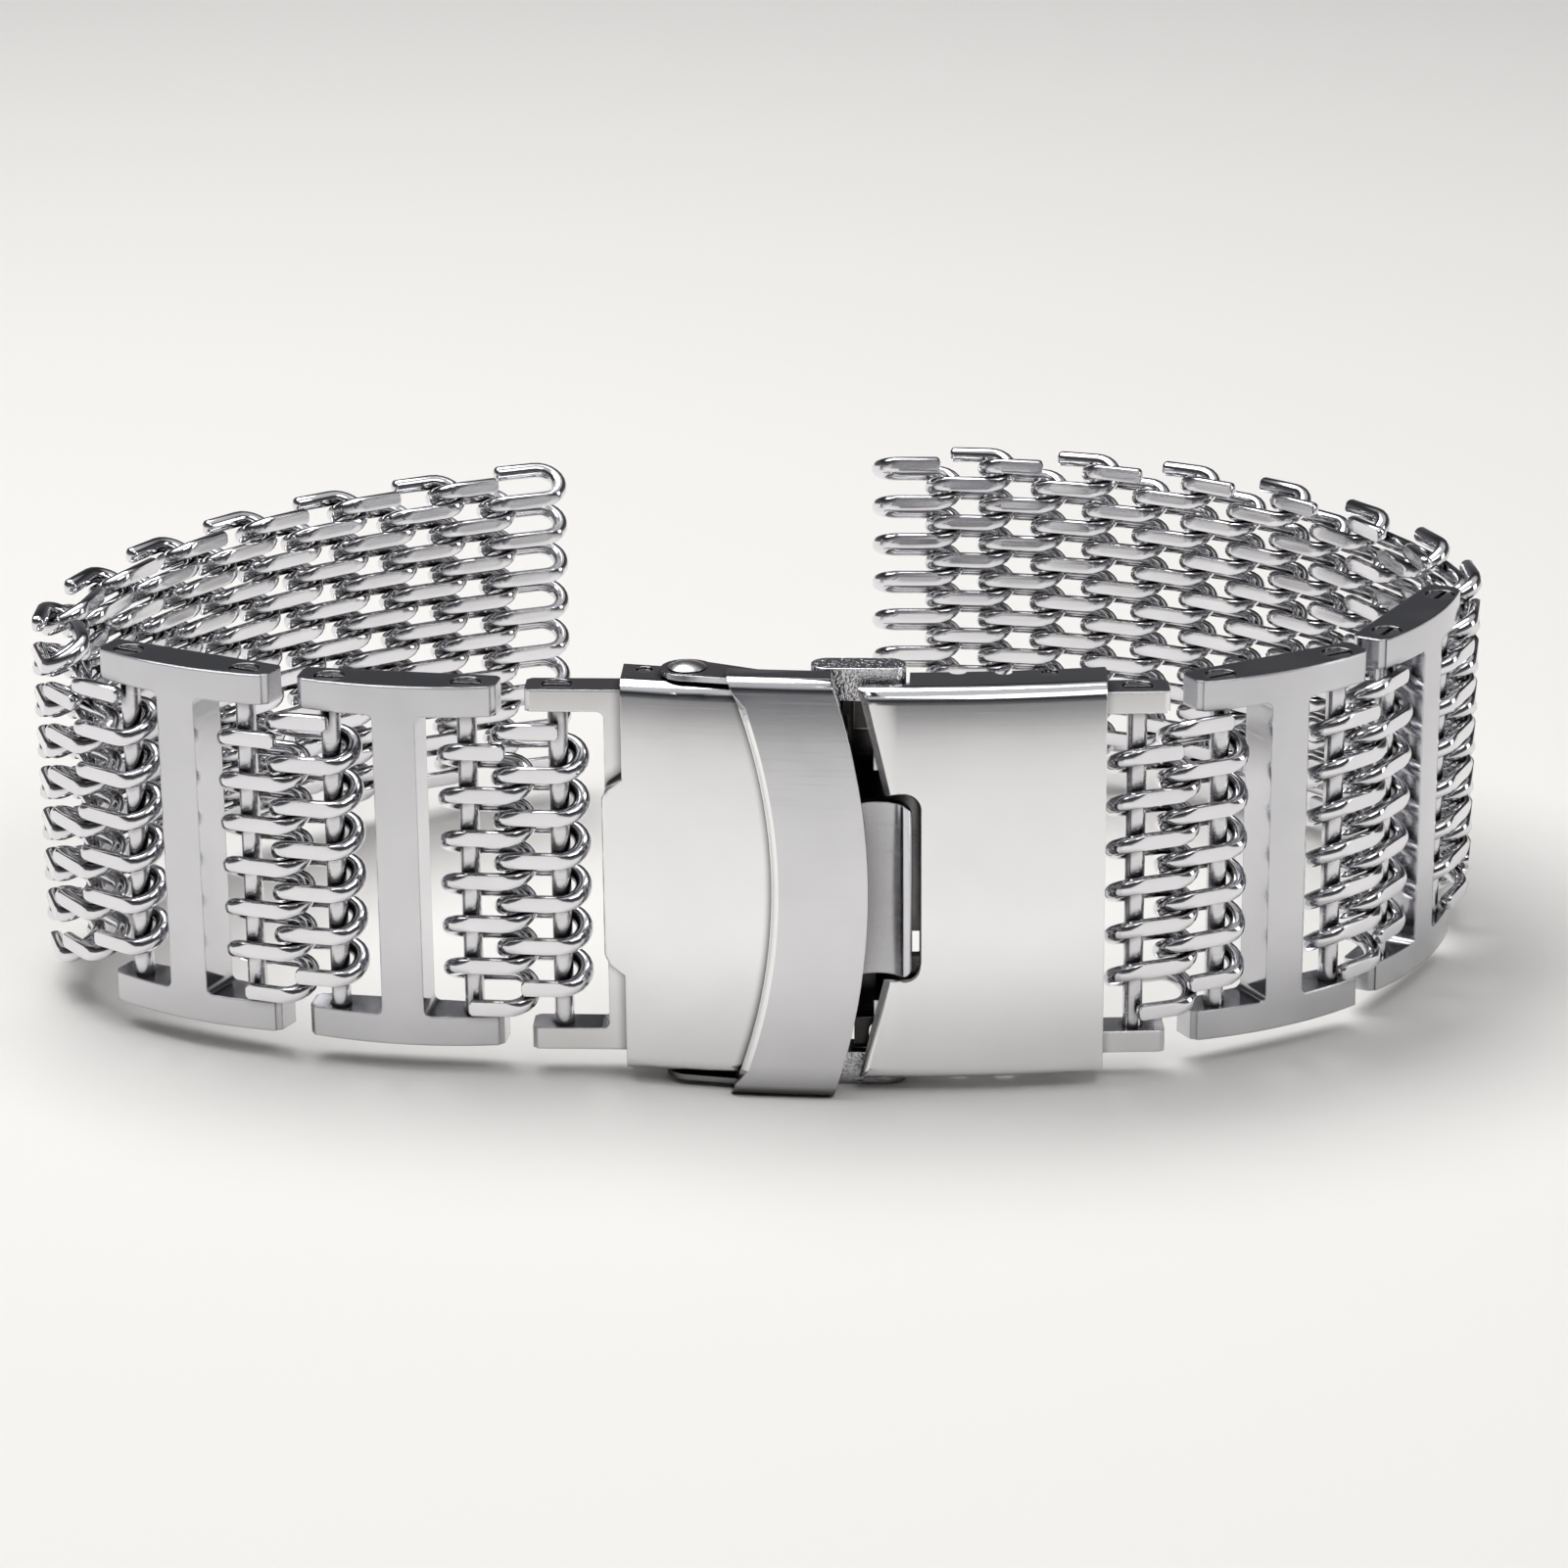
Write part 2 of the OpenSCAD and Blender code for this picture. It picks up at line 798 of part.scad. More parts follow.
// Housing on the lower blade that guides the buttons' plates and holds their springs
module latch_housing() {
    w = housing_x[1] - housing_x[0];
    front_y = apex_y + housing_depth;
    back_y = face_y(housing_x[0] / 2, lower_depth) - gap / 4;
    color(dark_steel)
        stand()
            union() {
                translate([housing_x[0], front_y, -housing_z])
                    cube([w, housing_t, 2 * housing_z]);
                for (x = [housing_x[0], housing_x[1] - housing_t])
                    translate([x, front_y, -housing_z])
                        cube([housing_t, back_y - front_y, 2 * housing_z]);
                translate([housing_x[0], front_y, -seat_z])
                    cube([w, back_y - front_y, 2 * seat_z]);
            }
}

// Push button on the upper edge: a round-ended cap, a guide plate and a slotted tongue
module button() {
    r = button_t / 2;
    guide_x = housing_x[0] + housing_t + gap;
    guide_w = housing_x[1] - housing_x[0] - 2 * (housing_t + gap);
    tongue_x = housing_x[1] + 2 * gap;
    tongue_w = 2 * (post.x - tongue_x);
    tongue_z = post.y - post_slot_w / 2 - 0.3;
    cap_y = apex_y + button_depth;
    translate([0, apex_y + plate_depth, 0])
        difference() {
            union() {
                translate([guide_x, 0, plate_end])
                    cube([guide_w, plate_t, button_base - plate_end + 0.3]);
                translate([tongue_x, 0, tongue_z])
                    cube([tongue_w, plate_t, button_base - tongue_z + 0.3]);
            }
            translate([post.x, 0, 0])
                rotate([-90, 0, 0])
                    translate([0, 0, -1])
                        linear_extrude(plate_t + 2) {
                            translate([0, -post.y])
                                circle(d = post_slot_w);
                            translate([-post_slot_w / 2, -button_base])
                                square([post_slot_w, button_base - post.y]);
                        }
        }
    translate([button_x, cap_y + r, button_base]) {
        for (s = [-1, 1])
            translate([s * (button_l / 2 - r), 0, 0])
                cylinder(r = r, h = button_out - button_base);
        translate([r - button_l / 2, -r, 0])
            cube([button_l - 2 * r, button_t, button_out - button_base]);
    }
}

module button_top() {
    color(satin_steel)
        stand()
            button();
}

module button_bottom() {
    color(satin_steel)
        stand()
            mirror([0, 0, 1])
                button();
}

// Return spring between the seat and a button's plate
module button_spring() {
    length = plate_end - seat_z - 2 * gap;
    rise = (length - spring_wire) / (2 * spring_turns);
    tilt = atan(rise / 2 / spring_r);
    ring_r = norm([spring_r, rise / 2]);
    spring_x = (housing_x[0] + housing_x[1]) / 2;
    translate([spring_x, apex_y + plate_depth + plate_t / 2, seat_z + gap + spring_wire / 2])
        for (j = [0 : 2 * spring_turns - 1])
            translate([0, 0, (j + 0.5) * rise])
                rotate([0, 0, j % 2 == 0 ? 0 : 180]) {
                    translate([eps, 0, 0])
                        rotate([tilt, 0, 0])
                            rotate([0, 0, -90])
                                rotate_extrude(angle = 180)
                                    translate([ring_r, 0])
                                        circle(d = spring_wire, $fn = 24);
                    if (j < 2 * spring_turns - 1)
                        translate([-eps, spring_r, rise / 2])
                            rotate([0, 90, 0])
                                cylinder(d = spring_wire - 0.02, h = 2 * eps);
                }
}

module button_spring_top() {
    color(dark_steel)
        stand()
            button_spring();
}

module button_spring_bottom() {
    color(dark_steel)
        stand()
            mirror([0, 0, 1])
                button_spring();
}

catch_plate();
lower_blade();
latch_posts();
flap_rivets();
safety_flap();
blade_pin();
upper_blade();
cover_pins();
cover();
latch_housing();
button_top();
button_bottom();
button_spring_top();
button_spring_bottom();
stand() spring_bar(left_bar_x);  // spring_bar_left
stand() spring_bar(right_bar_x);  // spring_bar_right
stand() end_link(true);  // end_link_left
stand() end_pin(true);  // end_pin_left
stand() end_link(false);  // end_link_right
stand() end_pin(false);  // end_pin_right
stand() short_mesh_a(true, 1);  // mesh_left_1a
stand() short_mesh_b(true, 1);  // mesh_left_1b
stand() link(true, 3);  // link_left_1
stand() link_pins(true, 3);  // pins_left_1
stand() short_mesh_a(true, 4);  // mesh_left_2a
stand() short_mesh_b(true, 4);  // mesh_left_2b
stand() link(true, 6);  // link_left_2
stand() link_pins(true, 6);  // pins_left_2
stand() short_mesh_a(false, 1);  // mesh_right_1a
stand() short_mesh_b(false, 1);  // mesh_right_1b
stand() link(false, 3);  // link_right_1
stand() link_pins(false, 3);  // pins_right_1
stand() short_mesh_a(false, 4);  // mesh_right_2a
stand() short_mesh_b(false, 4);  // mesh_right_2b
stand() link(false, 6);  // link_right_2
stand() link_pins(false, 6);  // pins_right_2
for (section = [0 : 8]) {
    stand() long_mesh(true, section);
    stand() long_mesh(false, section);
}
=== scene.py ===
"""Looks of a steel mesh watch bracelet with a fold-over clasp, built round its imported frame."""

import json
import logging
import math
from dataclasses import dataclass, field
from enum import Enum
from typing import Optional, Union

import bmesh
import bpy
import numpy as np
from mathutils import Euler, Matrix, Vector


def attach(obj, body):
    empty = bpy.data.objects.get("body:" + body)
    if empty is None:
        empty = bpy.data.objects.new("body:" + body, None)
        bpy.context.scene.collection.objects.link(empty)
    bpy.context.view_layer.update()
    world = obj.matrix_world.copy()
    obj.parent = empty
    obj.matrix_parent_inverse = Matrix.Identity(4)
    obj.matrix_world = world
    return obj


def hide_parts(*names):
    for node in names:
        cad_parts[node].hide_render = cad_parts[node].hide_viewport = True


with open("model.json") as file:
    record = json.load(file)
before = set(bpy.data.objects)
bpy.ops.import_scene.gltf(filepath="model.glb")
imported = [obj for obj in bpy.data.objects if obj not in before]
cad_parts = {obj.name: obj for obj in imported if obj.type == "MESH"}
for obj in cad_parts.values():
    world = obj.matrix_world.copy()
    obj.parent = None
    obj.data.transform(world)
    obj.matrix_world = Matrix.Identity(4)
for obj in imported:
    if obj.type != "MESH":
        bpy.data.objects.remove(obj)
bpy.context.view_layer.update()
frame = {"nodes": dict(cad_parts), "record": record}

MM = 0.001
# Half the width of the band over its widest piece, in mm
HALF_WIDTH = 12.7
# Distance in mm up to which two points are merged, and turn in degrees up to which faces are
MERGE = 0.0005
FLAT = 0.5
# Colour of the painted shade that ambient occlusion lays into nooks and gaps
SHADE_COLOUR = "#2E2B29"
LOG = logging.getLogger("bracelet")


class Side(Enum):
    """Side of the clasp on which a piece of the band hangs."""

    LEFT = "left"
    RIGHT = "right"


class Grain(Enum):
    """How the surface of a steel piece was worked."""

    POLISHED = "polished"
    BRUSHED = "brushed"
    TURNED = "turned"
    BLASTED = "blasted"


def srgb(code: str) -> tuple[float, float, float, float]:
    """Turns an sRGB hex value to linear colour.

    Args:
        code: Six hex digits, with or without a leading hash.

    Returns:
        Red, green, blue and alpha, linear.
    """
    digits = code.lstrip("#")
    parts = [int(digits[i : i + 2], 16) / 255 for i in (0, 2, 4)]
    linear = [c / 12.92 if c <= 0.04045 else ((c + 0.055) / 1.055) ** 2.4 for c in parts]
    return (linear[0], linear[1], linear[2], 1.0)


def add_node(
    tree: bpy.types.NodeTree,
    kind: str,
    settings: Optional[dict[Union[str, int], object]] = None,
    links: Optional[dict[Union[str, int], bpy.types.NodeSocket]] = None,
) -> bpy.types.Node:
    """Adds a shader node with its settings and its links.

    Args:
        tree: Node tree of a material or a world.
        kind: Blender's name of the node type.
        settings: Values by attribute name, or by the name or number of a socket.
        links: Output sockets by the name or number of the input they go to.

    Returns:
        The new node.
    """
    node = tree.nodes.new(kind)
    for key, value in (settings or {}).items():
        if isinstance(key, str) and hasattr(node, key):
            setattr(node, key, value)
        else:
            node.inputs[key].default_value = value
    for key, output in (links or {}).items():
        tree.links.new(output, node.inputs[key])
    return node


def mesh_object(name: str, verts: np.ndarray, faces: list[list[int]], smooth: bool) -> bpy.types.Object:
    """Puts points and faces into a new object at the origin.

    Args:
        name: Name of the object and its mesh.
        verts: Points in metres, one per row.
        faces: Corner indices of each face.
        smooth: Whether the faces are shaded smooth.

    Returns:
        The new object, linked to the scene.
    """
    mesh = bpy.data.meshes.new(name)
    mesh.from_pydata(verts.tolist(), [], faces)
    mesh.validate()
    mesh.polygons.foreach_set("use_smooth", [smooth] * len(mesh.polygons))
    mesh.update()
    made = bpy.data.objects.new(name, mesh)
    bpy.context.scene.collection.objects.link(made)
    return made


def grid_faces(rings: int, sides: int, first: int) -> list[list[int]]:
    """Faces of a tube of closed rings, with a fan of each end ring's own corners as its cap.

    Args:
        rings: Number of rings.
        sides: Points on each ring.
        first: Index of the tube's first point.

    Returns:
        Corner indices of the side faces and of both end caps.
    """
    row, col = np.meshgrid(np.arange(rings - 1), np.arange(sides), indexing="ij")
    nxt = (col + 1) % sides
    quads = np.stack(
        [row * sides + col, row * sides + nxt, (row + 1) * sides + nxt, (row + 1) * sides + col], axis=-1
    ).reshape(-1, 4)
    caps = [list(range(first + sides - 1, first - 1, -1))]
    last = first + (rings - 1) * sides
    caps.append(list(range(last, last + sides)))
    return (quads + first).tolist() + caps


def merged_copy(node: bpy.types.Object, name: str) -> bpy.types.Object:
    """Copies a piece of the frame and merges its loose triangles to whole faces.

    Args:
        node: The piece in the frame.
        name: Name of the copy and its mesh.

    Returns:
        The copy, smooth shaded and linked to the scene.
    """
    work = bmesh.new()
    work.from_mesh(node.data)
    bmesh.ops.remove_doubles(work, verts=work.verts, dist=MERGE * MM)
    bmesh.ops.dissolve_limit(work, angle_limit=math.radians(FLAT), verts=work.verts, edges=work.edges)
    bmesh.ops.recalc_face_normals(work, faces=work.faces)
    mesh = bpy.data.meshes.new(name)
    work.to_mesh(mesh)
    work.free()
    mesh.polygons.foreach_set("use_smooth", [True] * len(mesh.polygons))
    made = bpy.data.objects.new(name, mesh)
    bpy.context.scene.collection.objects.link(made)
    return made


def face_vectors(mesh: bpy.types.Mesh, what: str) -> np.ndarray:
    """Reads a vector of every face, such as its center or its normal, one per row."""
    values = np.empty(len(mesh.polygons) * 3)
    mesh.polygons.foreach_get(what, values)
    return values.reshape(-1, 3)


def cut_edges(piece: bpy.types.Object, name: str, width: float, segments: int) -> bpy.types.Modifier:
    """Adds a bevel whose faces take the piece's second material.

    Args:
        piece: Object to cut.
        name: Name of the modifier.
        width: Width of the cut in mm.
        segments: Number of faces across it.

    Returns:
        The modifier, without its limit.
    """
    cut = piece.modifiers.new(name, "BEVEL")
    cut.width = width * MM
    cut.segments = segments
    cut.material = 1
    return cut


def even_faces(piece: bpy.types.Object, keep_sharp: bool) -> None:
    """Adds a modifier that lets the large faces rule the shading at their rims."""
    flat = piece.modifiers.new("even_face", "WEIGHTED_NORMAL")
    flat.mode = "FACE_AREA"
    flat.weight = 100
    flat.keep_sharp = keep_sharp


@dataclass(frozen=True)
class Steel:
    """Stainless steel, 316L, with the finish that its piece got.

    Fields give the name, the colour range in sRGB, the roughness range, how the surface was
    worked, the size of that grain in mm and how deep it shows, the radius of the broken edges in
    mm, how far the hairlines of wear roughen it, how high the face is buffed round across the
    band, in mm at the band's edge, and how strong the painted shade is that ambient occlusion
    lays into nooks narrower than a given size in mm. The rest is alike for all: the size of the
    haze, the width, stretch and turns of the hairlines, and the share of open sky at which the
    painted shade is full and at which it ends.
    """

    name: str
    light: str
    dark: str
    smooth: float
    rough: float
    grain: Grain
    grain_mm: float
    depth_mm: float
    edge_mm: float
    hairline: float = 0.06
    crown_mm: float = 0.0
    painted_shade: float = 0.8
    nook_mm: float = 0.7
    haze_mm: float = 4.0
    hair_mm: float = 0.12
    hair_stretch: float = 0.02
    hair_turns: tuple[float, float] = (0.35, -0.9)
    open_sky: tuple[float, float] = (0.55, 0.95)

    def material(self) -> bpy.types.Material:
        """Builds the material: colour and gloss drift with handling, nooks get painted shade, grain and
        edges bend the light.

        Returns:
            The new material.
        """
        made = bpy.data.materials.new(self.name)
        made.use_nodes = True
        tree = made.node_tree
        tree.nodes.clear()
        place = add_node(tree, "ShaderNodeTexCoord").outputs["Object"]
        haze = add_node(
            tree,
            "ShaderNodeTexNoise",
            {"Scale": 1 / (self.haze_mm * MM), "Detail": 3.0, "Roughness": 0.55},
            {"Vector": place},
        ).outputs["Fac"]
        colour = add_node(tree, "ShaderNodeMix", {"data_type": "RGBA"}, {"Factor": haze})
        colour.inputs[6].default_value = srgb(self.light)
        colour.inputs[7].default_value = srgb(self.dark)
        # Painted shade: where ambient occlusion finds little open sky, the colour is mixed towards a dark
        # grey-brown, standing in for the shadow in gaps and nooks
        reach = add_node(tree, "ShaderNodeAmbientOcclusion", {"samples": 6, "Distance": self.nook_mm * MM})
        nook = add_node(
            tree,
            "ShaderNodeMapRange",
            {
                "From Min": self.open_sky[0],
                "From Max": self.open_sky[1],
                "To Min": self.painted_shade,
                "To Max": 0.0,
            },
            {"Value": reach.outputs["AO"]},
        ).outputs["Result"]
        shaded_colour = add_node(
            tree, "ShaderNodeMix", {"data_type": "RGBA"}, {"Factor": nook, 6: colour.outputs[2]}
        )
        shaded_colour.inputs[7].default_value = srgb(SHADE_COLOUR)
        gloss = add_node(
            tree,
            "ShaderNodeMapRange",
            {"From Min": 0.3, "From Max": 0.7, "To Min": self.smooth, "To Max": self.rough},
            {"Value": haze},
        ).outputs["Result"]
        worn = add_node(tree, "ShaderNodeMath", {"operation": "ADD"}, {0: gloss, 1: self.wear(tree, place)})
        shader = add_node(
            tree,
            "ShaderNodeBsdfPrincipled",
            {"Metallic": 1.0},
            {
                "Base Color": shaded_colour.outputs[2],
                "Roughness": worn.outputs[0],
                "Normal": self.relief(tree, place),
            },
        )
        add_node(tree, "ShaderNodeOutputMaterial", {}, {"Surface": shader.outputs["BSDF"]})
        return made

    def wear(self, tree: bpy.types.NodeTree, place: bpy.types.NodeSocket) -> bpy.types.NodeSocket:
        """Adds hairlines some hundredths of a mm wide and several mm long, in two directions.

        Args:
            tree: Node tree of the material.
            place: Object coordinates, in metres.

        Returns:
            What the hairlines add to the roughness.
        """
        lines = []
        for turn in self.hair_turns:
            laid = add_node(
                tree,
                "ShaderNodeMapping",
                {"Rotation": (0.0, turn, 0.0), "Scale": (self.hair_stretch, self.hair_stretch, 1.0)},
                {"Vector": place},
            )
            noise = add_node(
                tree,
                "ShaderNodeTexNoise",
                {"Scale": 1 / (self.hair_mm * MM), "Detail": 1.0},
                {"Vector": laid.outputs["Vector"]},
            )
            sharp = add_node(
                tree,
                "ShaderNodeMapRange",
                {"From Min": 0.6, "From Max": 0.72, "To Min": 0.0, "To Max": self.hairline},
                {"Value": noise.outputs["Fac"]},
            )
            lines.append(sharp.outputs["Result"])
        both = add_node(tree, "ShaderNodeMath", {"operation": "MAXIMUM"}, {0: lines[0], 1: lines[1]})
        return both.outputs[0]

    def relief(self, tree: bpy.types.NodeTree, place: bpy.types.NodeSocket) -> bpy.types.NodeSocket:
        """Adds the broken edges, the grain and the buffed crown to the normal.

        The crown falls off with the square of the distance from the middle of the band.

        Args:
            tree: Node tree of the material.
            place: Object coordinates, in metres.

        Returns:
            The normal for the shader.
        """
        stretch = {
            Grain.POLISHED: (1.0, 1.0, 1.0),
            Grain.BRUSHED: (0.06, 0.06, 1.0),
            Grain.TURNED: (0.1, 0.1, 1.0),
            Grain.BLASTED: (1.0, 1.0, 1.0),
        }[self.grain]
        edges = add_node(tree, "ShaderNodeBevel", {"samples": 4, "Radius": self.edge_mm * MM})
        normal = edges.outputs["Normal"]
        if self.crown_mm:
            across = add_node(tree, "ShaderNodeSeparateXYZ", {}, {"Vector": place}).outputs["Z"]
            off = add_node(
                tree, "ShaderNodeMath", {"operation": "SUBTRACT", 1: HALF_WIDTH * MM}, {0: across}
            ).outputs[0]
            square = add_node(tree, "ShaderNodeMath", {"operation": "MULTIPLY"}, {0: off, 1: off}).outputs[0]
            fall = -self.crown_mm / (HALF_WIDTH * HALF_WIDTH * MM)
            height = add_node(
                tree, "ShaderNodeMath", {"operation": "MULTIPLY", 1: fall}, {0: square}
            ).outputs[0]
            normal = add_node(
                tree,
                "ShaderNodeBump",
                {"Strength": 1.0, "Distance": 1.0},
                {"Height": height, "Normal": normal},
            ).outputs["Normal"]
        scaled = add_node(tree, "ShaderNodeMapping", {"Scale": stretch}, {"Vector": place})
        grain = add_node(
            tree,
            "ShaderNodeTexNoise",
            {"Scale": 1 / (self.grain_mm * MM), "Detail": 2.0},
            {"Vector": scaled.outputs["Vector"]},
        )
        bump = add_node(
            tree,
            "ShaderNodeBump",
            {"Strength": 1.0, "Distance": self.depth_mm * MM},
            {"Height": grain.outputs["Fac"], "Normal": normal},
        )
        return bump.outputs["Normal"]


# Clasp faces: buffed to a mirror, so lights read sharp and roll off towards the edges
MIRROR = Steel(
    "mirror_polished_steel", "#F4F4F5", "#EBEBED", 0.06, 0.1, Grain.POLISHED, 2.5, 0.0006, 0.14,
    hairline=0.05, crown_mm=1.15, painted_shade=0.95, nook_mm=0.5,
)
# End links: the same polish on a flat arm
BRIGHT = Steel(
    "bright_end_link_steel", "#EFEFF0", "#E4E4E6", 0.06, 0.1, Grain.POLISHED, 2.0, 0.0006, 0.16,
    hairline=0.05, crown_mm=0.9,
)
# Strip of the flap: lightly brushed before polishing, a little greyer than the faces
SATIN = Steel(
    "satin_polished_steel", "#DEDEE1", "#D3D3D7", 0.12, 0.18, Grain.BRUSHED, 0.35, 0.0004, 0.1,
    hairline=0.08, crown_mm=1.15, painted_shade=0.85, nook_mm=2.2,
)
# Chamfers and bevels: cut last with a diamond tool, so they flash white beside the buffed faces
CUT = Steel(
    "diamond_cut_steel", "#FCFCFC", "#F6F6F6", 0.2, 0.26, Grain.POLISHED, 2.0, 0.0004, 0.04,
    hairline=0.02, painted_shade=0.0, nook_mm=0.3,
)
# Open-frame links: cast, ground and tumbled bright
TUMBLED = Steel(
    "tumbled_link_steel", "#D9D9DC", "#C9C9CD", 0.09, 0.14, Grain.POLISHED, 1.6, 0.0008, 0.2,
    hairline=0.07, crown_mm=0.5,
)
# Mesh wire: drawn, woven, ground flat outside and tumbled until it glitters
WIRE = Steel(
    "tumbled_wire_steel", "#EEEEF0", "#DCDCDF", 0.07, 0.12, Grain.POLISHED, 1.2, 0.0015, 0.05,
    hairline=0.08,
)
# Pins: turned bars with fine rings that soften the highlight
TURNED = Steel(
    "turned_pin_steel", "#E2E2E4", "#D4D4D7", 0.18, 0.26, Grain.TURNED, 0.12, 0.0008, 0.05
)
# Buttons: blasted with glass beads, so they sparkle without a mirror image
BLASTED = Steel(
    "bead_blasted_steel", "#ECECEE", "#C8C8CC", 0.12, 0.18, Grain.BLASTED, 0.2, 0.09, 0.05,
    hairline=0.02,
)
# Blades: stamped strip with the rolling lines left in; its colour is painted darker than the other steels as
# shade for their place inside the clasp, with a wide reach of painted shade in nooks
ROLLED = Steel(
    "rolled_blade_steel", "#A6A6AA", "#94949A", 0.16, 0.24, Grain.BRUSHED, 0.25, 0.0008, 0.08,
    painted_shade=0.95, nook_mm=4.0,
)
# Springs: hard drawn wire, greyer than the rest
SPRING = Steel(
    "drawn_spring_steel", "#A9A9AE", "#95959B", 0.22, 0.3, Grain.TURNED, 0.1, 0.0006, 0.03
)


@dataclass
class Band:
    """The band as a chain of hinged pieces on each side of the clasp, sizes in mm."""

    end_pitch: float = 5.0
    link_pitch: float = 8.0
    row_l: float = 5.4
    long_row_l: float = 5.8
    row_hook: float = 2.3
    wire_d: float = 1.0
    pin_d: float = 1.15
    run_fit: float = 0.05
    long_rows: int = 16
    bar: tuple[float, float, float] = (-12.5, 10.5, 2.2)
    middle: tuple[float, float, float] = (-6.739, 26.313, -12.7)
    turns: dict[Side, tuple[float, ...]] = field(
        default_factory=lambda: {
            Side.LEFT: (
                0, 2, 3, 7, 11, 17, 25, 36, 52, 71, 88, 99,
                108, 114, 119, 124, 130, 136, 142, 147, 151, 154, 157, 160,
            ),
            Side.RIGHT: (
                4, 22, 27, 31, 46, 60, 63, 68, 83, 96, 106, 114,
                121, 128, 135, 141, 147, 154, 160, 166, 172, 176, 181, 185,
            ),
        }
    )

    def pin_off(self, row_l: float) -> float:
        """Distance from a link's pin to the middle of the row on it, for a row of this length."""
        return row_l / 2 - self.wire_d - self.pin_d / 2 - self.run_fit

    def lengths(self) -> np.ndarray:
        """Length of each piece of the chain, from the clasp to the free end."""
        short = self.pin_off(self.row_l) + (self.row_l - self.row_hook) / 2
        step = self.long_row_l - self.row_hook
        start = [self.end_pitch, short, short, self.link_pitch, short, short, self.link_pitch]
        return np.array(start + [self.pin_off(self.long_row_l) + step / 2] + [step] * self.long_rows)

    def to_row(self, side: Side, piece: int, points: np.ndarray) -> np.ndarray:
        """Takes points from a piece's own frame to the row frame.

        A point is turned by the piece's heading, carried to its joint, mirrored by a half turn
        for the left side, and moved so that the part stands in the middle of its row.

        Args:
            side: Side of the clasp.
            piece: Number of the piece along the chain.
            points: Points in mm, one per row.

        Returns:
            The points in metres.
        """
        angles = np.radians(np.array(self.turns[side], float))
        left = side is Side.LEFT
        steps = self.lengths()[:piece]
        start_x = -self.bar[0] if left else self.bar[1]
        joint_x = start_x + float((steps * np.cos(angles[:piece])).sum())
        joint_y = self.bar[2] + float((steps * np.sin(angles[:piece])).sum())
        c, s = math.cos(angles[piece]), math.sin(angles[piece])
        x = joint_x + c * points[:, 0] - s * points[:, 1]
        y = joint_y + s * points[:, 0] + c * points[:, 1]
        z = points[:, 2]
        placed = np.stack([-x if left else x, y, -z if left else z], axis=1)
        return (placed - np.array(self.middle)) * MM


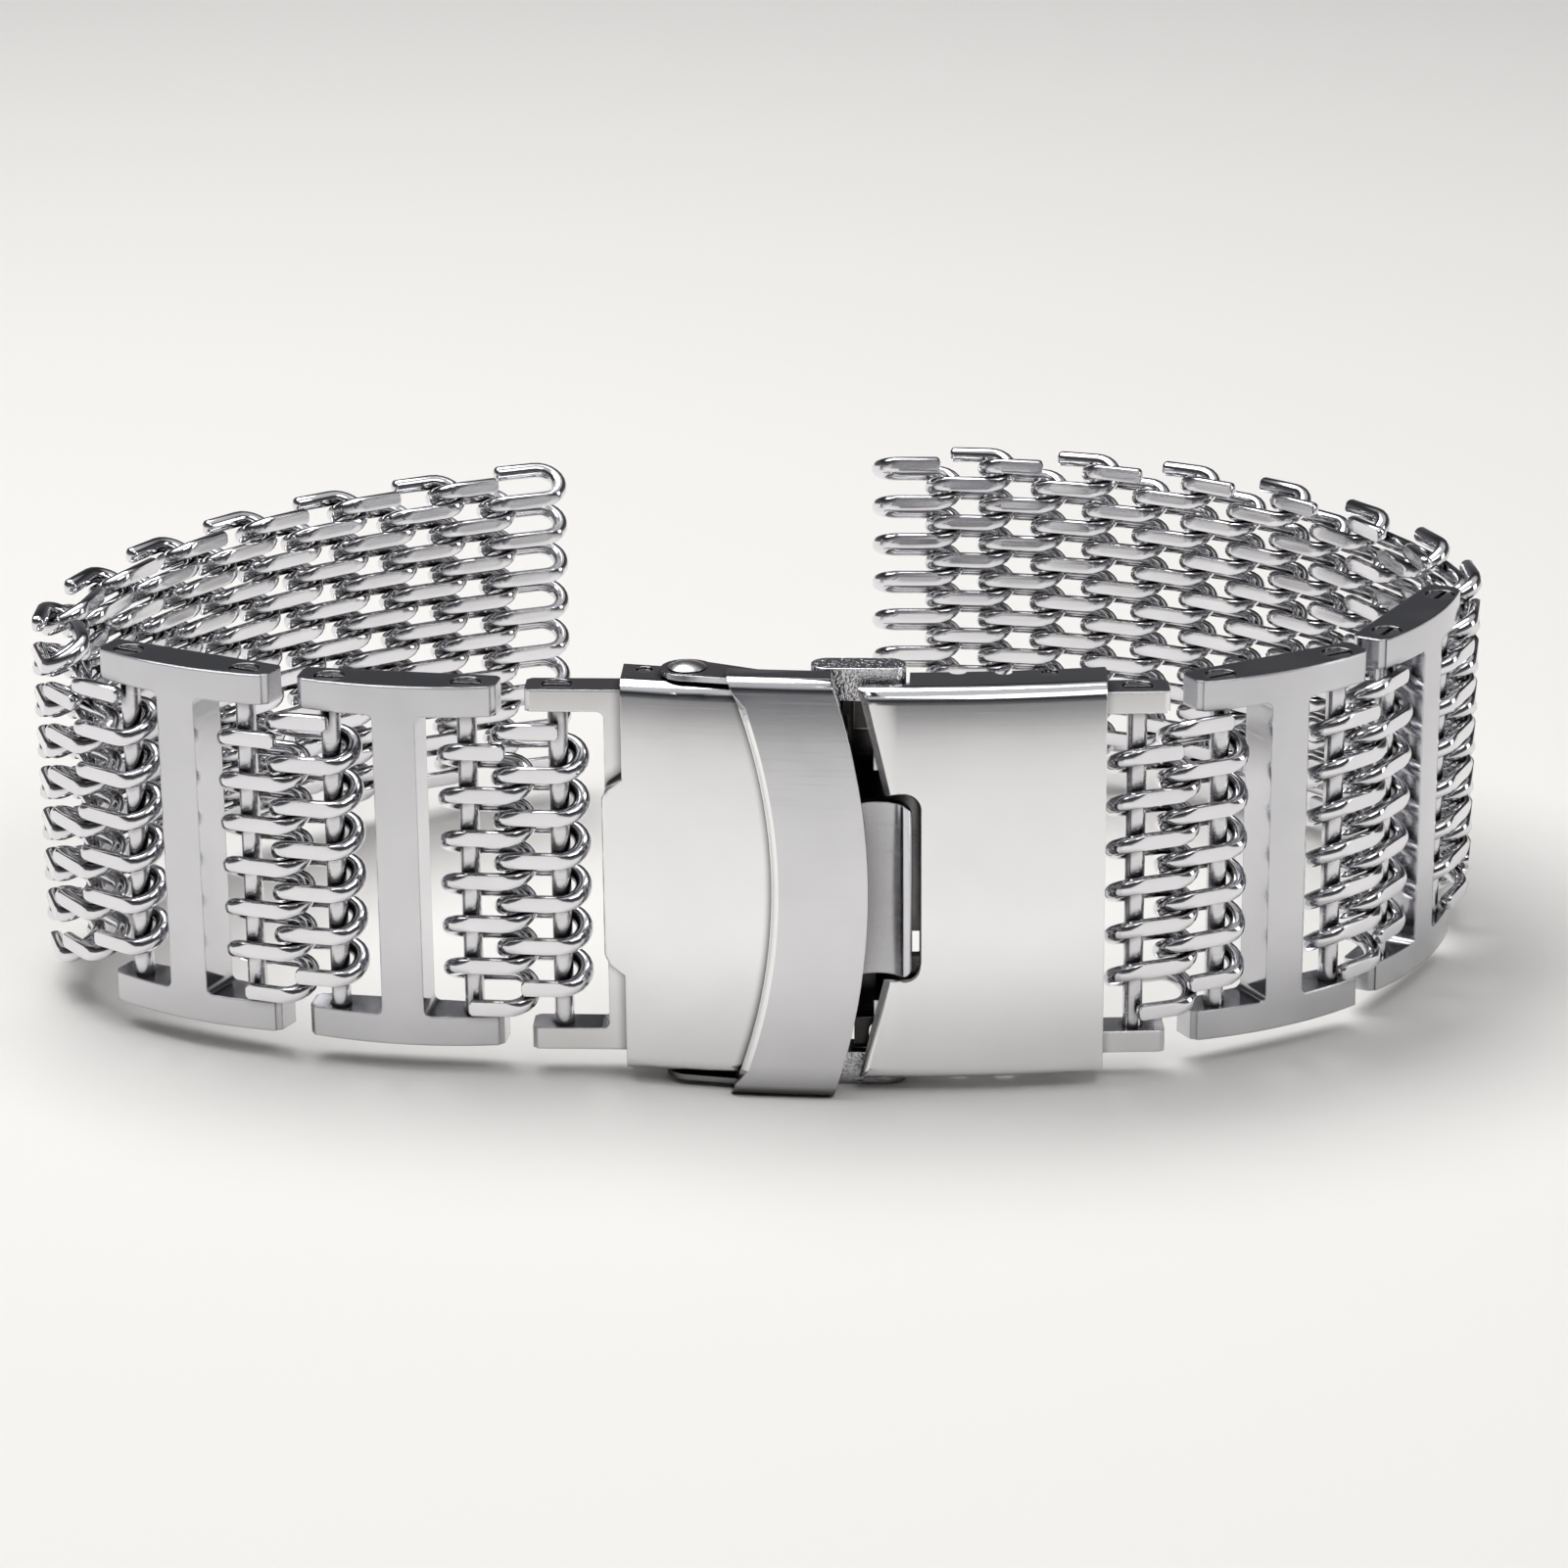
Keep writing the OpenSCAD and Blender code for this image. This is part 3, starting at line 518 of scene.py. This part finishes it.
@dataclass
class MeshRow:
    """One row of the mesh: a wire wound into a flattened coil across the band, sizes in mm."""

    band: Band
    row_t: float = 3.4
    turn_rise: float = 2.62
    ground: float = 0.22
    flat_shares: tuple[float, float, float] = (0.3, 0.75, 1.0)
    past_corner: float = 10.0
    flank: float = 80.0
    lattice_mid: float = 7.5
    bend_steps: int = 13
    dome_steps: int = 4
    dome_share: float = 0.3
    tip_share: float = 0.04
    crease: float = 32.0

    def section(self) -> np.ndarray:
        """Outline of the round wire, with points where the flats on both faces will break off.

        The sine and cosine of each angle, counted from the outward side, give the point. Three
        points lie at shares of the angle at which the flat ends, one just past it and one at the
        flank, and the other quarters mirror them.

        Returns:
            Inward and sideways distance of each point, in order round the wire.
        """
        r = self.band.wire_d / 2
        corner = math.degrees(math.acos(1 - self.ground / r))
        half = np.radians([k * corner for k in self.flat_shares] + [corner + self.past_corner, self.flank])
        half = np.concatenate([half, math.pi - half[::-1]])
        angles = np.concatenate([half, -half[::-1]])
        return np.stack([-r * np.cos(angles), r * np.sin(angles)], axis=1)

    def centre_line(
        self, row_l: float, first: int, count: int, phase: int
    ) -> tuple[np.ndarray, np.ndarray]:
        """Centre line of the coil and its direction.

        A run goes straight along the band on one face. A half ring of the bend radius, tilted by
        the rise, then takes the wire to the other face: x grows with the sine of the angle while
        y and z follow its cosine.

        Args:
            row_l: Length of the row along the band.
            first: Lattice step of the first run.
            count: Number of runs.
            phase: 0 where even runs are outside, 1 where odd ones are.

        Returns:
            Points and unit directions, one per row.
        """
        bend_r = (self.row_t - self.band.wire_d) / 2
        run = (row_l - self.band.wire_d) / 2 - bend_r
        rise = self.turn_rise / 4
        slant = math.hypot(bend_r, rise)
        a = np.linspace(0, math.pi, self.bend_steps)
        points = []
        for j in range(first, first + count):
            outward = 1 if (j + phase) % 2 == 0 else -1
            z = (j - self.lattice_mid) * self.turn_rise / 2
            if j == first:
                points.append(np.array([[-outward * run, -outward * bend_r, z]]))
            if j == first + count - 1:
                points.append(np.array([[outward * run, -outward * bend_r, z]]))
                break
            ring = np.stack(
                [
                    outward * (run + slant * np.sin(a)),
                    -outward * bend_r * np.cos(a),
                    z + rise - rise * np.cos(a),
                ],
                axis=1,
            )
            points.append(ring)
        line = np.concatenate(points)
        ahead = np.empty_like(line)
        ends = np.concatenate([[0], np.cumsum([len(p) for p in points])])
        for k, part in enumerate(points):
            if len(part) > 1:
                way = np.stack(
                    [
                        slant * np.cos(a) * np.sign(part[1, 0]),
                        bend_r * np.sin(a) * -np.sign(part[0, 1]),
                        rise * np.sin(a),
                    ],
                    axis=1,
                )
                ahead[ends[k] : ends[k + 1]] = way
        ahead[0] = [-line[0, 0], 0, 0]
        ahead[-1] = [line[-1, 0], 0, 0]
        return line, ahead / np.linalg.norm(ahead, axis=1, keepdims=True)

    def tube(self, row_l: float, first: int, count: int, phase: int) -> tuple[np.ndarray, int, int]:
        """Carries the section along the centre line, closes it with melted round ends and grinds it.

        Args:
            row_l: Length of the row along the band.
            first: Lattice step of the first run.
            count: Number of runs.
            phase: 0 where even runs are outside, 1 where odd ones are.

        Returns:
            Points in mm, the number of rings and the points on each.
        """
        line, ahead = self.centre_line(row_l, first, count, phase)
        section = self.section()
        up = np.array([0.0, 0.0, 1.0])
        side = up - ahead * (ahead @ up)[:, None]
        side /= np.linalg.norm(side, axis=1, keepdims=True)
        inward = np.cross(side, ahead)
        rings = (
            line[:, None, :]
            + section[None, :, :1] * inward[:, None, :]
            + section[None, :, 1:] * side[:, None, :]
        )
        turn = np.linspace(0, math.pi / 2, self.dome_steps + 1)[1:, None, None]
        shrink = np.cos(turn) * (1 - self.tip_share) + self.tip_share
        swell = np.sin(turn) * self.dome_share * self.band.wire_d
        start = line[0] + (rings[0] - line[0])[None] * shrink - ahead[0] * swell
        stop = line[-1] + (rings[-1] - line[-1])[None] * shrink + ahead[-1] * swell
        whole = np.concatenate([start[::-1], rings, stop])
        limit = self.row_t / 2 - self.ground
        whole[:, :, 1] = np.clip(whole[:, :, 1], -limit, limit)
        return whole.reshape(-1, 3), len(whole), len(section)


@dataclass
class WireMesh:
    """Both long ends and the short pieces of interlinked mesh, one object for each node of the frame."""

    band: Band
    row: MeshRow
    sections: int = 9
    short_runs: int = 13
    long_runs: int = 16

    def plan(self) -> dict[str, list[tuple[Side, int, float, float, int, int, int]]]:
        """Lists each node's rows: side, piece of the chain, offset, length, first step, runs and phase."""
        short_l, long_l = self.band.row_l, self.band.long_row_l
        on_pin, on_long = self.band.pin_off(short_l), self.band.pin_off(long_l)
        half, long_half = (short_l - self.band.row_hook) / 2, (long_l - self.band.row_hook) / 2
        rows: dict[str, list[tuple[Side, int, float, float, int, int, int]]] = {}
        for side in Side:
            for number, piece in ((1, 1), (2, 4)):
                on_the_pin = (side, piece, on_pin, short_l, 1, self.short_runs, 1)
                after_it = (side, piece + 1, half, short_l, 2, self.short_runs, 0)
                rows[f"mesh_{side.value}_{number}a"] = [on_the_pin]
                rows[f"mesh_{side.value}_{number}b"] = [after_it]
            for section in range(self.sections):
                name = f"long_mesh_{side.value}_{section}"
                rows[name] = []
                for k in [0] if section == 0 else [2 * section - 1, 2 * section]:
                    if k >= self.band.long_rows:
                        continue
                    phase = 1 if k % 2 == 0 else 0
                    short = k < 2
                    shape = (2 - phase, self.short_runs, phase) if short else (0, self.long_runs, phase)
                    rows[name].append((side, 7 + k, on_long if k == 0 else long_half, long_l, *shape))
        return rows

    def build(self, bodies: dict[str, str], finish: bpy.types.Material) -> int:
        """Makes the wire of every mesh node, dresses it and lets it ride on the node's body.

        Args:
            bodies: Body of each node.
            finish: Material of the wire.

        Returns:
            Number of pieces made.
        """
        made = 0
        for node, rows in self.plan().items():
            verts: list[np.ndarray] = []
            faces: list[list[int]] = []
            for side, piece, offset, row_l, first, count, phase in rows:
                tube, rings, sides = self.row.tube(row_l, first, count, phase)
                faces += grid_faces(rings, sides, sum(len(v) for v in verts))
                verts.append(self.band.to_row(side, piece, tube + np.array([offset, 0, 0])))
            wire = mesh_object(f"wire_{node}", np.concatenate(verts), faces, True)
            wire.data.set_sharp_from_angle(angle=math.radians(self.row.crease))
            wire.data.materials.append(finish)
            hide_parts(node)
            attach(wire, bodies[node])
            made += 1
            LOG.info("wire of %s: %d faces", node, len(faces))
        return made


@dataclass(frozen=True)
class Plate:
    """A plate of the clasp's face: its finish, its slot and the sizes of its rim in mm.

    The sizes are the radius of its outer face, half the width of that face between its rounded
    long edges, the width of the chamfer, and the share of that width which is cut to the right
    of the strip's middle.
    """

    name: str
    finish: str
    slot: str
    radius: float
    flat_half: float
    width: float
    right_share: float


@dataclass
class ClaspFace:
    """The three plates of the clasp's face, with their outer rims chamfered, sizes in mm.

    The face follows an arc whose axis runs across the band, so a point lies on the rim where its
    distance from that axis is the radius of the plate's outer face.
    """

    plates: tuple[Plate, ...] = (
        Plate("catch_plate", "mirror", "plate_steel", 75.0, 10.98, 0.14, 1.0),
        Plate("cover", "mirror", "plate_steel", 75.0, 10.98, 0.14, 1.0),
        Plate("safety_flap", "satin", "flap_steel", 75.9, 11.88, 0.42, 0.0),
    )
    axis: tuple[float, float] = (6.739, 47.416)
    rim_depth: float = 0.25
    bevel_depth: float = 1.2
    bevel_lean: tuple[float, float] = (0.42, 0.92)
    strip_x: float = -2.6
    crease: float = 30.0
    corner: float = 70.0

    def rim(self, mesh: bpy.types.Mesh, plate: Plate) -> np.ndarray:
        """Finds the sharp outward edges on the outer face.

        An edge counts where both of its points lie less than the rim's depth under the outer
        radius and on its flat part, and its two faces turn away from each other by more than the
        corner angle.

        Args:
            mesh: Merged mesh of the plate.
            plate: Sizes of the plate.

        Returns:
            Weight of each edge of the rim and zero for the others.
        """
        points = np.empty(len(mesh.vertices) * 3)
        mesh.vertices.foreach_get("co", points)
        points = points.reshape(-1, 3) / MM
        reach = np.hypot(points[:, 0] - self.axis[0], points[:, 1] - self.axis[1])
        out = reach > plate.radius - self.rim_depth
        out &= np.abs(points[:, 2] - HALF_WIDTH) < plate.flat_half
        ends = np.empty(len(mesh.edges) * 2, dtype=np.int32)
        mesh.edges.foreach_get("vertices", ends)
        ends = ends.reshape(-1, 2)
        work = bmesh.new()
        work.from_mesh(mesh)
        least = math.radians(self.corner)
        bent = np.array([e.is_manifold and e.calc_face_angle_signed(0.0) > least for e in work.edges])
        work.free()
        right = points[ends[:, 0], 0] > self.axis[0] + self.strip_x
        share = np.where(right, plate.right_share, 1.0)
        return (share * (out[ends].all(axis=1) & bent)).astype(np.float32)

    def bevels(self, mesh: bpy.types.Mesh, plate: Plate) -> np.ndarray:
        """Finds the slanted faces at the rim.

        A face counts where its middle lies near the outer radius, and the cosine of the angle
        between its normal and the outward direction lies between the two limits.

        Args:
            mesh: Merged mesh of the plate.
            plate: Sizes of the plate.

        Returns:
            One for each bevel and zero for the other faces.
        """
        middles = face_vectors(mesh, "center") / MM
        out = middles[:, :2] - np.array(self.axis)
        reach = np.linalg.norm(out, axis=1)
        lean = (face_vectors(mesh, "normal")[:, :2] * out).sum(axis=1) / reach
        near = reach > plate.radius - self.bevel_depth
        near &= np.abs(middles[:, 2] - HALF_WIDTH) < plate.flat_half
        return (near & (lean > self.bevel_lean[0]) & (lean < self.bevel_lean[1])).astype(np.int32)

    def chamfer(self, node: bpy.types.Object, plate: Plate) -> bpy.types.Object:
        """Copies a plate and gives its rim a bright chamfer.

        Args:
            node: The plate in the frame.
            plate: Sizes of the plate.

        Returns:
            The new plate.
        """
        made = merged_copy(node, f"chamfered_{node.name}")
        mesh = made.data
        mesh.set_sharp_from_angle(angle=math.radians(self.crease))
        weight = mesh.attributes.new("bevel_weight_edge", "FLOAT", "EDGE")
        weight.data.foreach_set("value", self.rim(mesh, plate))
        if plate.right_share:
            mesh.polygons.foreach_set("material_index", self.bevels(mesh, plate))
        cut = cut_edges(made, "chamfer", plate.width, 2)
        cut.limit_method = "WEIGHT"
        cut.use_clamp_overlap = False
        even_faces(made, True)
        return made

    def build(self, nodes: dict[str, bpy.types.Object], bodies: dict[str, str],
              materials: dict[str, bpy.types.Material]) -> int:
        """Makes the three chamfered plates and lets each ride on its own body.

        Args:
            nodes: Objects of the frame by node name.
            bodies: Body of each node.
            materials: Material of each finish.

        Returns:
            Number of plates made.
        """
        for plate in self.plates:
            made = self.chamfer(nodes[plate.name], plate)
            made.data.materials.append(materials[plate.finish])
            made.data.materials.append(materials["cut"])
            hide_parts(plate.name)
            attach(made, bodies[plate.name])
            LOG.info("%s is chamfered and %s", plate.name, plate.finish)
        return len(self.plates)


@dataclass
class PushButtons:
    """The two push buttons, sizes in mm.

    Their caps are blasted, with the edges rounded and polished after it. The plates and tongues
    under the caps keep the finish of the blades, whose darker colour is painted shade.
    """

    edge_r: float = 0.16
    corner: float = 50.0
    hidden_half: float = 10.8
    names: tuple[str, str] = ("button_top", "button_bottom")

    def build(self, nodes: dict[str, bpy.types.Object], bodies: dict[str, str],
              materials: dict[str, bpy.types.Material]) -> int:
        """Makes both buttons with rounded bright edges and lets each ride on its own body.

        Args:
            nodes: Objects of the frame by node name.
            bodies: Body of each node.
            materials: Material of each finish.

        Returns:
            Number of buttons made.
        """
        for name in self.names:
            button = merged_copy(nodes[name], f"rounded_{name}")
            mesh = button.data
            # Faces under the cap take the blades' darker steel, painted shade for the parts tucked under it
            hidden = np.abs(face_vectors(mesh, "center")[:, 2] / MM - HALF_WIDTH) < self.hidden_half
            mesh.polygons.foreach_set("material_index", np.where(hidden, 2, 0).astype(np.int32))
            edge = cut_edges(button, "rounded_edges", self.edge_r, 3)
            edge.limit_method = "ANGLE"
            edge.angle_limit = math.radians(self.corner)
            even_faces(button, False)
            for finish in ("blasted", "cut", "rolled"):
                mesh.materials.append(materials[finish])
            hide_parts(name)
            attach(button, bodies[name])
            LOG.info("%s is rounded", name)
        return len(self.names)


@dataclass
class SteelPieces:
    """The solid steel pieces of the frame and the finish that each of them got."""

    finishes: dict[str, tuple[str, ...]] = field(
        default_factory=lambda: {
            "bright": ("end_link_left", "end_link_right"),
            "tumbled": ("link_left_1", "link_left_2", "link_right_1", "link_right_2"),
            "turned": (
                "pins_left_1", "pins_left_2", "pins_right_1", "pins_right_2",
                "end_pin_left", "end_pin_right", "spring_bar_left", "spring_bar_right",
                "flap_rivets", "blade_pin", "cover_pins", "latch_posts",
            ),
            "rolled": ("lower_blade", "upper_blade", "latch_housing"),
            "spring": ("button_spring_top", "button_spring_bottom"),
        }
    )

    def dress(self, nodes: dict[str, bpy.types.Object], materials: dict[str, bpy.types.Material]) -> int:
        """Gives each node of the frame its finish.

        Args:
            nodes: Objects of the frame by node name.
            materials: Material of each finish.

        Returns:
            Number of nodes dressed.
        """
        dressed = 0
        for finish, names in self.finishes.items():
            for name in names:
                mesh = nodes[name].data
                mesh.materials.clear()
                mesh.materials.append(materials[finish])
                dressed += 1
                LOG.info("%s is %s", name, finish)
        return dressed


@dataclass(frozen=True)
class SoftBox:
    """A rectangular soft box: its place, the point it faces and its size in mm, and its watts."""

    name: str
    at: tuple[float, float, float]
    to: tuple[float, float, float]
    size: tuple[float, float]
    watts: float


@dataclass
class Studio:
    """Pale floor, soft lamps and the camera at the photograph's viewing angle, sizes in mm.

    The walls are given as grey values by height, from the horizon at 0 to straight up at 1.
    """

    lamps: tuple[SoftBox, ...] = (
        SoftBox("key_box", (-140, 90, 430), (0, -30, 0), (420, 260), 1.75),
        SoftBox("front_box", (160, -240, 400), (0, -40, 0), (300, 160), 0.4),
        SoftBox("side_box", (420, -60, 160), (0, 0, 10), (120, 260), 0.3),
    )
    walls: tuple[tuple[float, str], ...] = (
        (0.0, "#6A6A6D"), (0.5, "#2E2F31"), (0.62, "#2E2F31"), (0.8, "#C4C4C5"),
    )
    floor_size: float = 6000.0
    floor_colour: str = "#EDEBE8"
    camera_at: tuple[float, float, float] = (14.994, -296.9, 115.0)
    pitch: float = 19.6
    heading: float = 2.7
    roll: float = -0.48
    lens: float = 116.4

    def floor(self) -> bpy.types.Object:
        """Lays the floor, a flat square at the height where the part stands."""
        h = self.floor_size * MM / 2
        corners = np.array([[-h, -h, 0], [h, -h, 0], [h, h, 0], [-h, h, 0]])
        made = mesh_object("floor", corners, [[0, 1, 2, 3]], False)
        paper = bpy.data.materials.new("matt_floor_paper")
        paper.use_nodes = True
        shader = paper.node_tree.nodes["Principled BSDF"]
        shader.inputs["Base Color"].default_value = srgb(self.floor_colour)
        shader.inputs["Roughness"].default_value = 0.7
        shader.inputs["Specular IOR Level"].default_value = 0.2
        made.data.materials.append(paper)
        return made

    def hang(self, box: SoftBox) -> bpy.types.Object:
        """Hangs a soft box, out of the camera's sight."""
        data = bpy.data.lights.new(box.name, "AREA")
        data.shape = "RECTANGLE"
        data.size = box.size[0] * MM
        data.size_y = box.size[1] * MM
        data.energy = box.watts
        made = bpy.data.objects.new(box.name, data)
        bpy.context.scene.collection.objects.link(made)
        made.location = np.array(box.at) * MM
        way = (np.array(box.to, float) - np.array(box.at, float)).tolist()
        made.rotation_euler = Vector(way).to_track_quat("-Z", "Y").to_euler()
        made.visible_camera = False
        return made

    def world(self) -> None:
        """Fills the studio with grey walls that darken upwards, under a pale ceiling."""
        made = bpy.data.worlds.new("studio_world")
        bpy.context.scene.world = made
        made.use_nodes = True
        tree = made.node_tree
        tree.nodes.clear()
        way = add_node(tree, "ShaderNodeTexCoord").outputs["Generated"]
        split = add_node(tree, "ShaderNodeSeparateXYZ", {}, {"Vector": way})
        ramp = add_node(tree, "ShaderNodeValToRGB", {}, {"Fac": split.outputs["Z"]})
        stops = ramp.color_ramp.elements
        for height, _ in self.walls[1:-1]:
            stops.new(height)
        for stop, (height, grey) in zip(stops, self.walls):
            stop.position = height
            stop.color = srgb(grey)
        back = add_node(
            tree, "ShaderNodeBackground", {"Strength": 1.0}, {"Color": ramp.outputs["Color"]}
        )
        add_node(tree, "ShaderNodeOutputWorld", {}, {"Surface": back.outputs["Background"]})

    def camera(self) -> bpy.types.Object:
        """Sets the camera up as the photograph was taken."""
        data = bpy.data.cameras.new("camera")
        data.sensor_width = 36.0
        data.lens = self.lens
        data.clip_start = 0.01
        data.clip_end = 50.0
        made = bpy.data.objects.new("camera", data)
        bpy.context.scene.collection.objects.link(made)
        look = Euler((math.radians(90 - self.pitch), 0, math.radians(self.heading))).to_matrix().to_4x4()
        turn = Euler((0, 0, math.radians(self.roll))).to_matrix().to_4x4()
        made.matrix_world = look @ turn
        made.location = np.array(self.camera_at) * MM
        bpy.context.scene.camera = made
        return made

    def build(self) -> None:
        """Puts floor, lamps, world and camera in place."""
        self.floor()
        for box in self.lamps:
            self.hang(box)
        self.world()
        self.camera()
        bpy.context.scene.view_settings.view_transform = "Standard"
        LOG.info("studio is ready")


def frame_nodes() -> dict[str, bpy.types.Object]:
    """Objects of the frame by node name."""
    return dict(frame["nodes"])


def node_bodies() -> dict[str, str]:
    """Body of each node of the frame."""
    bodies = frame["record"]["behaviour"]["bodies"]
    return {node: body for body, nodes in bodies.items() for node in nodes}


def main() -> None:
    """Builds every sub-assembly of the bracelet in order and reports each."""
    logging.basicConfig(level=logging.INFO, format="%(name)s: %(message)s")
    bodies = node_bodies()
    nodes = frame_nodes()
    finishes = {
        "mirror": MIRROR, "bright": BRIGHT, "satin": SATIN, "cut": CUT, "tumbled": TUMBLED, "wire": WIRE,
        "turned": TURNED, "blasted": BLASTED, "rolled": ROLLED, "spring": SPRING,
    }
    materials = {name: finish.material() for name, finish in finishes.items()}
    band = Band()
    made = WireMesh(band, MeshRow(band)).build(bodies, materials["wire"])
    LOG.info("%d pieces of mesh", made)
    LOG.info("%d plates", ClaspFace().build(nodes, bodies, materials))
    LOG.info("%d buttons", PushButtons().build(nodes, bodies, materials))
    LOG.info("%d steel pieces", SteelPieces().dress(nodes, materials))
    Studio().build()


if __name__ == "__main__":
    main()
